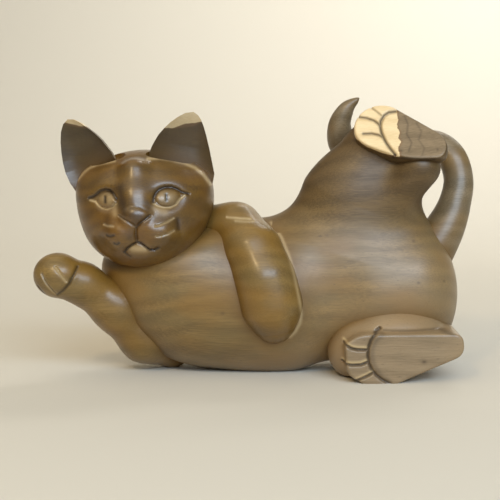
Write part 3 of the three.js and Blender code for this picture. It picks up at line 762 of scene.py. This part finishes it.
# %% Scoops and coping
SCOOPS = [
    egg((-110, -26, 165), (21, 10, 11), axes((0, 0, 1), (0.87, -0.5, 0))),
    egg((-54, -27, 167), (25, 11, 12.5), axes((-0.1, 0, 1), (0.92, 0.4, 0.1))),
]
SCOOP_SPINES = [[(-116, -23, 165), (-104, -29, 165)], [(-62, -30, 167), (-46, -24, 167)]]
for field, spine in zip(SCOOPS, SCOOP_SPINES):
    carve(head, "DIFFERENCE", from_grid("scoop", skin(field, spine, 60, 100)))
COPED = [
    (head, torso), (ears["right"], head), (ears["left"], head), (reaching_leg, torso), (folded_leg, torso),
    (folded_leg, raised_leg), (folded_leg, head), (resting_leg, torso), (tail, torso), (tail, raised_leg),
]
for guest, host in COPED:
    carve(guest, "DIFFERENCE", host, tool_stays=True)
    print(guest.name, "coped to", host.name)

# %% [markdown]
# The figure stands on flats, sanded on a board. One level cut through every piece makes them. Edges
# that turn by more than SHARP_ANGLE stay crisp, and the rest is shaded smooth.

# %% Flat rest
TABLE_LEVEL, SHARP_ANGLE = BLOCK_LOW[2], np.radians(38)
BOARD = [(-300, -200), (300, -200), (300, TABLE_LEVEL), (-300, TABLE_LEVEL)]
PIECES = {
    "torso": (torso, "body_wood"),
    "hind_leg_raised": (raised_leg, "body_wood"),
    "hind_leg_resting": (resting_leg, "body_wood"),
    "foreleg_reaching": (reaching_leg, "body_wood"),
    "foreleg_folded": (folded_leg, "body_wood"),
    "tail": (tail, "tail_wood"),
    "head": (head, "face_wood"),
    "ear_right": (ears["right"], "ear_wood"),
    "ear_left": (ears["left"], "ear_wood"),
}
for piece, _ in PIECES.values():
    if points_of(piece)[:, 2].min() < TABLE_LEVEL:
        carve(piece, "DIFFERENCE", prism("board", BOARD))
    piece.data.set_sharp_from_angle(angle=SHARP_ANGLE)
    print(piece.name, len(piece.data.polygons), "faces")

# %% [markdown]
# Wax darkens where the brush can't reach and the cloth can't rub, in the knife lines; the creases
# between two pieces get painted shade, with some wax held there. Four shares are stored on the points
# of every piece for the materials: how dark, how pale (painted highlight), how deep in the painted
# shade between pieces and how close to a pin knot each point lies.

# %% Wax, bare wood and knots
# Painted highlight along the crest between the forehead and each ear.
CREST_HIGHLIGHTS = [
    (0, 0.9, 0, 0.75, [(-127, 145), (-122, 151), (-118, 154), (-112, 156.5), (-105, 157.8), (-99, 159)]),
    (0, 0.9, 0, 0.75, [(-75, 160.5), (-66, 161), (-59, 160), (-50, 157.5), (-42, 154), (-36, 149),
                       (-31, 142)]),
]
KNIFE_WORK = {
    "head": FACE_LINES + CREST_HIGHLIGHTS + FACE_TONES_AND_PAINTED_LIGHT,
    "hind_leg_raised": RAISED_LINES,
    "hind_leg_resting": RESTING_LINES,
    "foreleg_reaching": PAW_LINES,
    "foreleg_folded": SHOULDER_LINES + FOLD_EDGE_HIGHLIGHT,
    "torso": FOLD_EDGE_HIGHLIGHT,
}
FIELDS = {
    "torso": body, "hind_leg_raised": raised_foot, "hind_leg_resting": resting_field,
    "foreleg_reaching": reaching_field, "foreleg_folded": folded_field, "head": bare_head,
}
# Each knot: X, Z, half its width, half its height.
KNOTS = [
    (-22, 51, 1.5, 0.9), (48, 105, 1.3, 0.7), (53, 105, 1.1, 0.7), (15, 29, 0.9, 0.8),
    (120, 18, 1.8, 1.2), (116, 101, 1.3, 0.8), (118, 72, 1.3, 0.8), (138, 72, 0.9, 0.8),
    (130, 167, 0.8, 0.8), (66, 83, 0.9, 0.6), (104, 166, 1.6, 1.2),
]
# The painted shade between pieces fades out over the first of these widths, in millimetres from the other
# piece.
CREASE_SHADE_WIDTH, DRAWN_FRONT = 6.0, -8
ONE_CARVING = ("torso", "hind_leg_raised")
for node, (piece, _) in PIECES.items():
    places = points_of(piece)
    _, dark, pale = cut_lines(places, KNIFE_WORK.get(node, []))
    front = places[:, 1] < (PAW_FRONT if node == "foreleg_reaching" else DRAWN_FRONT)
    write_share(piece, "dark", dark * front)
    write_share(piece, "pale", pale * front)

    own = ("torso", node) if node in ONE_CARVING else (node,)
    nearest = np.min([field(places) for name, field in FIELDS.items() if name not in own], axis=0)
    # The painted shade between pieces is weaker towards the right of the resting leg.
    crease_shade_strength = np.clip((98 - places[:, 0]) / 20, 0.3, 1) if node == "hind_leg_resting" else 1
    write_share(piece, "crease_shade_and_wax", crease_shade_strength * np.exp(-np.maximum(nearest, 0) / CREASE_SHADE_WIDTH))

    near = [np.hypot((places[:, 0] - x) / w, (places[:, 2] - z) / h) for x, z, w, h in KNOTS]
    write_share(piece, "knot", np.exp(-np.min(near, axis=0) ** 2) * front)
    print(node, "knife lines touch", int(((dark + pale) * front > 0.1).sum()), "points")

# %% [markdown]
# Three more shares are stored where they are needed. The two soles are planed, so less wax stays on
# them. The block's edge was sapwood, which is cream: it shows on the raised foot and on the ear
# tips. The share passes 0.5 at the sapwood's edge, and changes by 1 over SAP_FADE millimetres.

# %% Planed soles and sapwood
SAP_FADE, SAP_WANDER = 30.0, 7
SAP_EDGE_X, SAP_DEPTH, RIM, RESTING_SOLE_Y = 104.5, 3, 4, -57.4
# For each ear, a point of the sapwood's edge and the direction towards the sapwood, in X and Z.
EDGES = {"right": ((-138, 186), (0.10, 0.995)), "left": ((-64, 182.5), (-0.164, 0.986))}
places = points_of(raised_leg)
above = (places - RAISED_FOOT) @ RAISED_SOLE - SOLE_HEIGHT
inside_slab = RIM - RIM * slab(places)
write_share(raised_leg, "planed", (np.abs(above) < 0.6) & (slab(places) < 0.5))
sap_side = np.minimum(np.minimum(SAP_EDGE_X - places[:, 0], inside_slab), SAP_DEPTH + above)
write_share(raised_leg, "sap", 0.5 + sap_side / SAP_FADE)
print("points in the raised foot's sapwood:", int((sap_side > 0).sum()))
write_share(resting_leg, "planed", (RESTING_SOLE_Y - points_of(resting_leg)[:, 1]) / 0.8)
# An ear is also dark wherever its surface faces out of the hollow.
for side, ear in ears.items():
    places, ((x, z), (along_x, along_z)) = points_of(ear), EDGES[side]
    write_share(ear, "sap", 0.5 + ((places[:, 0] - x) * along_x + (places[:, 2] - z) * along_z) / SAP_FADE)
    normals = np.empty(len(ear.data.vertices) * 3, np.float32)
    ear.data.vertex_normals.foreach_get("vector", normals)
    front = ear_axes(EARS[side]["base"], EARS[side]["tip"], EARS[side]["facing"])[2]
    write_share(ear, "dark", np.clip((normals.reshape(-1, 3) @ front - 0.35) * 2.2, 0, 1))

# %% [markdown]
# Shader nodes read like formulas when a socket can be added and multiplied. This small class wraps
# a socket; every sum or product of wrapped sockets adds the Math node that works it out.

# %% Formulas from nodes
class Link:
    """A socket of a material's nodes that takes part in sums."""

    def __init__(self, recipe, socket):
        self.recipe, self.socket = recipe, socket

    def __add__(self, other):
        return self.recipe.math("ADD", self, other)

    def __mul__(self, other):
        return self.recipe.math("MULTIPLY", self, other)

    def __sub__(self, other):
        return self.recipe.math("SUBTRACT", self, other)

    def __rsub__(self, other):
        return self.recipe.math("SUBTRACT", other, self)

    __radd__, __rmul__ = __add__, __mul__


print("a link takes part in sums of", [name for name in vars(Link) if name.startswith("__r")])

# %% [markdown]
# A recipe is a material in the making. It adds any node by its type, its settings and its sockets,
# and has short names for the few that wood needs.

# %% Recipe of a material
class Recipe:
    """A material in the making."""

    def __init__(self, name):
        self.material = bpy.data.materials.new(name)
        self.material.use_nodes = True
        self.nodes, self.links = self.material.node_tree.nodes, self.material.node_tree.links
        self.shader = self.nodes["Principled BSDF"]

    def node(self, kind, settings=None, sockets=None, output=0):
        """Adds a node, gives it its settings and then its sockets' values or links."""
        made = self.nodes.new("ShaderNode" + kind)
        for name, value in (settings or {}).items():
            setattr(made, name, value)
        for name, value in (sockets or {}).items():
            if isinstance(value, Link):
                self.links.new(value.socket, made.inputs[name])
            else:
                made.inputs[name].default_value = value
        return Link(self, made.outputs[output])

    def math(self, operation, a, b=0.0):
        """One Math node on two numbers or sockets."""
        return self.node("Math", {"operation": operation}, {0: a, 1: b})

    def mix(self, share, a, b):
        """Colour a where the share is 0 and colour b where it is 1."""
        return self.node("Mix", {"data_type": "RGBA"}, {0: share, 6: a, 7: b}, output=2)

    def fade(self, value, low, high):
        """0 below low, 1 above high, smooth between them."""
        settings = {"interpolation_type": "SMOOTHSTEP"}
        return self.node("MapRange", settings, {"Value": value, "From Min": low, "From Max": high})

    def places(self, sizes=(1, 1, 1)):
        """Object coordinates, divided by a pattern's sizes in metres."""
        raw = self.node("TexCoord", output=3)
        scale = tuple(1 / size for size in sizes)
        return self.node("Mapping", {}, {"Vector": raw, "Scale": scale})

    def noise(self, sizes, detail=2.0, roughness=0.5):
        """Smooth noise whose lumps have the given sizes in metres."""
        sockets = {"Vector": self.places(sizes), "Scale": 1.0, "Detail": detail, "Roughness": roughness}
        return self.node("TexNoise", {}, sockets)

    def axis(self, number):
        """One of the object coordinates: 0 is X, 1 is Y and 2 is Z."""
        return self.node("SeparateXYZ", {}, {0: self.places()}, output=number)

    def share(self, name):
        """A share that was stored on the piece's points; it is 0 where none was."""
        return self.node("Attribute", {"attribute_name": name}, output=2)

    def feed(self, **sockets):
        """Sets or links the shader's own sockets; an underscore stands for a space."""
        for name, value in sockets.items():
            socket = self.shader.inputs[name.replace("_", " ")]
            if isinstance(value, Link):
                self.links.new(value.socket, socket)
            else:
                socket.default_value = value


def paint(red, green, blue):
    """A colour as a paint chart gives it, 0 to 255, as the linear light that shaders use."""
    share = np.array([red, green, blue]) / 255
    linear = np.where(share <= 0.04045, share / 12.92, ((share + 0.055) / 1.055) ** 2.4)
    return (*linear.tolist(), 1.0)


print("middle grey of a paint chart, as light:", np.round(paint(128, 128, 128)[:3], 3))

# %% [markdown]
# The wood is one board of a fine, even timber like parota or suar: level grain in hair-thin streaks,
# slow growth bands, cloudy patches where the oil has sunk in more, short dark pores, a few pin
# knots, and creamy sapwood along one edge. Everything is worked out in the object's own space, so
# the grain runs on from piece to piece as it does in one block.

# %% Colours of the wood
RUBBED, KNOT_BROWN, SAP_EDGE = paint(160, 138, 110), paint(58, 40, 20), paint(120, 88, 56)
SHADED, PLANED = (paint(98, 76, 44), paint(70, 52, 26)), (paint(148, 128, 100), paint(114, 96, 70))
CREAM = paint(236, 212, 168), paint(218, 190, 142)
CREASE_SHADE_AND_WAX, LINE_WAX_AND_SHADE, EAR_WAX = paint(104, 72, 14), paint(34, 20, 8), paint(54, 42, 24)
PALE_HIGHLIGHT = paint(222, 196, 148)


def palette(light, deep, cloud, warm):
    """The four colours of one wood: light grain, dark grain, oil clouds and warm glow."""
    return dict(light=paint(*light), deep=paint(*deep), cloud=paint(*cloud), warm=paint(*warm))


BODY = palette((142, 114, 64), (94, 72, 32), (106, 88, 50), (130, 94, 30))
FACE = palette((118, 86, 30), (68, 46, 12), (84, 60, 18), (108, 70, 12))
TAIL_TONES = palette((140, 122, 94), (92, 76, 50), (108, 96, 76), (120, 92, 46))
EAR_TONES = palette((90, 72, 40), (52, 38, 16), (68, 54, 28), (68, 46, 16))
PEG_TONES = palette((196, 160, 112), (160, 122, 78), (178, 142, 96), (180, 138, 84))
SATIN = dict(gloss=0.42, coat=0.6, blur=0.4, rubbed=0.3, shaded=0.95)
print("the body's light grain, as light:", np.round(BODY["light"][:3], 3))

# %% [markdown]
# One function makes every finish. The grain's tone decides between a light and a dark colour; over
# it come clouds of oil, a warm glow, wood rubbed pale low on the haunch, painted shade high on the
# raised leg, planed soles, pores, sapwood, painted shade with some wax in the creases between
# pieces, and last the dark wax and the painted highlights of the knife lines.

# %% Waxed wood
MM = 0.001
BAND_WIDTH, DRIFT = 13 * MM, 40 * MM


def waxed_wood(name, light, deep, cloud, warm, gloss=0.32, coat=0.25, blur=0.2,
               rubbed=0.0, shaded=0.0, hollow=0.0, sap=False):
    """Colour: the mixes named below, one over the other. Roughness: gloss + 0.1 tone + 0.06 clouds +
    0.12 valley. Relief: streaks less pores. Rubbed, shaded and hollow say how strong each of them is."""
    wood = Recipe(name)
    back, up = wood.axis(1), wood.axis(2)
    drift = wood.noise((90 * MM, 60 * MM, 45 * MM), 2)
    streaks = wood.noise((30 * MM, 0.7 * MM, 0.9 * MM), 4, 0.6)
    hairs = wood.noise((8 * MM, 0.35 * MM, 0.35 * MM), 2, 0.6)
    clouds = wood.fade(wood.noise((44 * MM, 26 * MM, 17 * MM), 3, 0.55), 0.35, 0.68)
    glow = wood.fade(wood.noise((60 * MM, 40 * MM, 30 * MM), 2, 0.5), 0.42, 0.66)
    bands = wood.math("SINE", (up + back * 0.3 + drift * DRIFT) * (2 * np.pi / BAND_WIDTH)) * 0.5 + 0.5
    pores = wood.fade(wood.noise((4 * MM, 0.4 * MM, 0.4 * MM), 1), 0.68, 0.76)
    tone = wood.fade(streaks * 0.5 + hairs * 0.25 + bands * 0.12 + 0.065, 0.3, 0.7)
    colour = wood.mix(tone, light, deep)
    colour = wood.mix(clouds * 0.6, colour, cloud)
    colour = wood.mix(glow * 0.6, colour, warm)
    if rubbed:
        low_right = wood.axis(0) * 0.7 - up * 0.9 + drift * DRIFT
        colour = wood.mix(wood.fade(low_right, -30 * MM, 45 * MM) * rubbed, colour, RUBBED)
    # Painted shade: the wood is darker, and its coat thinner, higher up the body and the raised leg.
    if shaded:
        high = wood.fade(up, 75 * MM, 145 * MM) * shaded
        colour = wood.mix(high, colour, wood.mix(tone, *SHADED))
        coat = coat - high * coat * 0.85
    colour = wood.mix(wood.share("planed") * 0.75, colour, wood.mix(tone, *PLANED))
    colour = wood.mix(wood.math("MAXIMUM", pores * 0.5, wood.share("knot") * 0.7), colour, KNOT_BROWN)
    if sap:
        wander = (wood.noise((20 * MM, 12 * MM, 7 * MM), 2) - 0.5) * (SAP_WANDER / SAP_FADE)
        line = wood.share("sap") + wander
        white = wood.fade(line, 0.5, 0.5 + 0.7 / SAP_FADE)
        edge = wood.fade(line, 0.5 - 1.6 / SAP_FADE, 0.5) * (1 - white)
        colour = wood.mix(white, wood.mix(edge * 0.7, colour, SAP_EDGE), wood.mix(tone, *CREAM))
    crease_shade_and_wax = wood.share("crease_shade_and_wax")
    # Painted shade, with some wax, in the creases between pieces.
    colour = wood.mix(crease_shade_and_wax * 0.75, colour, CREASE_SHADE_AND_WAX)
    # Painted highlight along the lips of cuts, rims and edges.
    colour = wood.mix(wood.share("pale") * 0.6, colour, PALE_HIGHLIGHT)
    if hollow:
        colour = wood.mix(wood.share("dark") * hollow, colour, EAR_WAX)
    else:
        # Dark wax in the knife lines, and painted shade along the few lines that stand for shade.
        colour = wood.mix(wood.share("dark") * 0.94, colour, LINE_WAX_AND_SHADE)
    relief = streaks * 0.6 - pores * 0.8
    bump = wood.node("Bump", {}, {"Strength": 0.22, "Distance": 0.25 * MM, "Height": relief})
    wood.feed(Base_Color=colour, Roughness=tone * 0.10 + clouds * 0.06 + crease_shade_and_wax * 0.12 + gloss)
    wood.feed(Normal=bump, Coat_Weight=coat, Coat_Roughness=blur, Specular_IOR_Level=0.5)
    print("mixed", name, "from", len(wood.nodes), "nodes")
    return wood.material


# %% [markdown]
# The body is satin, the face has the most wax, and the forelegs shine as if from many hands. The
# pegs inside are a pale dowel with no wax, and keep the measured model's own meshes.

# %% Finishes on the pieces
FINISHES = {
    "torso": waxed_wood("body_wax", **BODY, **SATIN),
    "hind_leg_raised": waxed_wood("raised_leg_wax", **BODY, **SATIN, sap=True),
    "hind_leg_resting": waxed_wood("resting_leg_wax", **BODY, gloss=0.36, coat=0.3, rubbed=0.6),
    "head": waxed_wood("face_wax", **FACE, gloss=0.34, coat=0.6, blur=0.26),
    "tail": waxed_wood("tail_wax", **TAIL_TONES, gloss=0.4, coat=0.4, blur=0.3),
    "foreleg_reaching": waxed_wood("foreleg_wax", **BODY),
    "ear_right": waxed_wood("ear_right_wax", **EAR_TONES, hollow=0.45, sap=True),
    "ear_left": waxed_wood("ear_left_wax", **EAR_TONES, hollow=0.45, sap=True),
}
PEG = waxed_wood("peg_dowel", **PEG_TONES, coat=0.0)

for node, (piece, slot) in PIECES.items():
    piece.data.materials.clear()
    piece.data.materials.append(FINISHES.get(node, FINISHES["foreleg_reaching"]))
    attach(piece, "root")
    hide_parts(node)
for node, peg in frame["nodes"].items():
    if node not in PIECES:
        peg.data.materials.clear()
        peg.data.materials.append(PEG)
print("finished", len(PIECES), "carved pieces and", len(frame["nodes"]) - len(PIECES), "pegs")

# %% [markdown]
# The studio is a pale sheet that runs from the table up the wall in one sweep, so no line shows
# behind the cat.

# %% Floor and wall
def sweep_sheet(name, half_width, front, back, height, radius, steps=24):
    """A strip in X along a profile in Y and Z: a floor, a quarter circle and a wall."""
    turn = np.linspace(0, np.pi / 2, steps)
    bend = np.stack([back - radius + radius * np.sin(turn), radius - radius * np.cos(turn)], -1)
    profile = np.vstack([[front, 0], bend, [back, height]])
    left = np.insert(profile, 0, -half_width, axis=1)
    right = np.insert(profile, 0, half_width, axis=1)
    i = np.arange(len(profile) - 1)
    quads = np.stack([i, i + len(profile), i + len(profile) + 1, i + 1], -1)
    sheet = bpy.data.meshes.new(name)
    sheet.from_pydata(np.vstack([left, right]).tolist(), [], quads.tolist())
    sheet.shade_smooth()
    made = bpy.data.objects.new(name, sheet)
    bpy.context.scene.collection.objects.link(made)
    return made


floor = sweep_sheet("studio_sheet", half_width=6.0, front=-3.0, back=2.2, height=4.0, radius=1.4)
paper = Recipe("studio_paper")
paper.feed(Base_Color=paint(210, 205, 193), Roughness=0.8)
floor.data.materials.append(paper.material)
print("studio sheet:", len(floor.data.polygons), "strips")

# %% [markdown]
# The camera stands a little above the table and looks down at the cat's belly by five degrees, from
# far enough away that the near foot doesn't swell.

# %% Camera
ELEVATION, DISTANCE, LENS = np.radians(5.0), 0.85, 81.6
AIM = np.array([-0.0066, 0.0093, 0.0895])
scene = bpy.context.scene
camera = bpy.data.objects.new("camera", bpy.data.cameras.new("camera"))
camera.data.lens = LENS
camera.location = AIM + DISTANCE * np.array([0, -np.cos(ELEVATION), np.sin(ELEVATION)])
camera.rotation_euler = (np.pi / 2 - ELEVATION, 0, 0)
scene.collection.objects.link(camera)
scene.camera = camera
print("camera at", np.round(camera.location, 3))

# %% [markdown]
# Four lamps and a dim warm room: a window to the front right, wide and cool, a small warm lamp to the
# front left that gives the round sparks on forehead and foreleg, soft light from overhead, and a
# wash on the wall behind. Colours are shown as they are, without a film curve.

# %% Lamps
def lamp(name, azimuth, elevation, distance, size, power, colour, aim=AIM):
    """A rectangular lamp that looks at aim; azimuth 0 is straight in front of it, 90 is to the right."""
    a, e = np.radians([azimuth, elevation])
    made = bpy.data.objects.new(name, bpy.data.lights.new(name, "AREA"))
    made.data.shape, made.data.size, made.data.size_y = "RECTANGLE", *size
    made.data.energy, made.data.color = power, colour
    made.location = aim + distance * np.array([np.sin(a) * np.cos(e), -np.cos(a) * np.cos(e), np.sin(e)])
    made.rotation_euler = (np.pi / 2 - e, 0, a)
    scene.collection.objects.link(made)
    print(name, "shines with", power, "watts from", np.round(made.location, 2))


lamp("window", 18, 30, 2.4, (2.0, 0.9), 54, (0.68, 0.83, 1.0))
lamp("lamp", -26, 38, 2.0, (0.22, 0.22), 8, (1.0, 0.74, 0.40))
lamp("overhead", -50, 66, 1.8, (2.2, 2.2), 12, (1.0, 0.86, 0.62))
lamp("wall_wash", 20, 50, 1.6, (1.5, 0.6), 26, (1.0, 0.97, 0.92), aim=np.array([0.5, 2.2, 0.4]))
room = bpy.data.worlds.new("room")
room.use_nodes = True
room.node_tree.nodes["Background"].inputs["Color"].default_value = paint(240, 226, 198)
room.node_tree.nodes["Background"].inputs["Strength"].default_value = 0.26
scene.world = room
scene.view_settings.view_transform = "Standard"

# %% [markdown]
